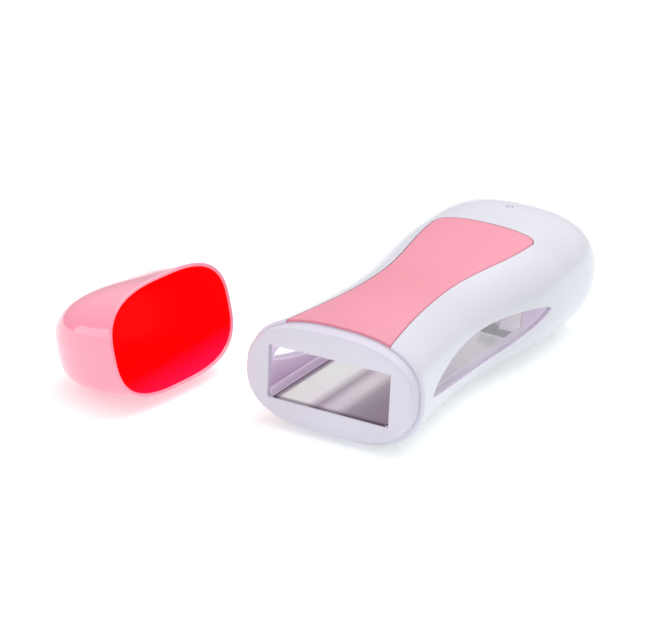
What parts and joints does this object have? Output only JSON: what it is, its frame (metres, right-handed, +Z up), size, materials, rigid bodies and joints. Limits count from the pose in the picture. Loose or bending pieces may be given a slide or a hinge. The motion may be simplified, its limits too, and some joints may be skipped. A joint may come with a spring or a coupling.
{
  "type": "roll on wax heater",
  "caption": "Hand-held roll-on wax heater: hourglass shell with side windows, top grip panel, open cartridge bay with a heated floor plate, rear inlet, and a pull-off cap lying beside it.",
  "frame": {"origin": "on the flattened underside of the hand unit, under the middle of its length, at table height", "axes": "+Z up from the table, -Y out of the mouth of the cartridge bay, +Y towards the inlet end, +X to the right seen from the mouth"},
  "size_m": [0.1617, 0.2157, 0.0526],
  "materials": {
    "shell": "satin moulded",
    "collar": "satin moulded",
    "panel": "satin moulded",
    "pane": "clear moulded plastic",
    "tray": "moulded",
    "spring_steel": "blued",
    "plate": "milled",
    "ceramic_chip": "fired ceramic, silvered faces",
    "strip": "rolled",
    "film": "amber film",
    "plated_steel": "zinc plated",
    "mica": "mica sheet",
    "thermostat_case": "tinned",
    "fuse": "coated",
    "black_plastic": "moulded",
    "pin": "nickel plated",
    "board": "laminate",
    "lamp": "diffused",
    "resistor": "lacquered",
    "red_lead": "insulated",
    "blue_lead": "insulated",
    "white_lead": "insulated",
    "cap": "translucent, polished"
  },
  "bodies": {
    "hand_unit": {"main_shell": "shell", "base_shell": "shell", "front_collar": "collar", "grip_panel": "panel", "window_right": "pane", "window_left": "pane", "bay_tray": "tray", "cartridge_spring": "spring_steel", "heater_plate": "plate", "ptc_chips": "ceramic_chip", "contact_strips": "strip", "insulating_film": "film", "clamp_bar": "plated_steel", "clamp_screws": "plated_steel", "heat_shield": "mica", "thermostat": "thermostat_case", "thermal_fuse": "fuse", "inlet_socket": "black_plastic", "inlet_pins": "pin", "lamp_board": "board", "lamp": "lamp", "dropper_resistor": "resistor", "rectifier_diode": "black_plastic", "live_lead": "red_lead", "neutral_lead": "blue_lead", "lamp_leads": "white_lead", "crimp_caps": "white_lead", "housing_screws": "plated_steel"},
    "cap_body": {"cap": "cap"}
  },
  "joints": [
    {"name": "cap_lift", "type": "slide", "parent": "hand_unit", "child": "cap_body", "axis": [0, 0, 1], "range_m": [0, 0.08]}
  ]
}
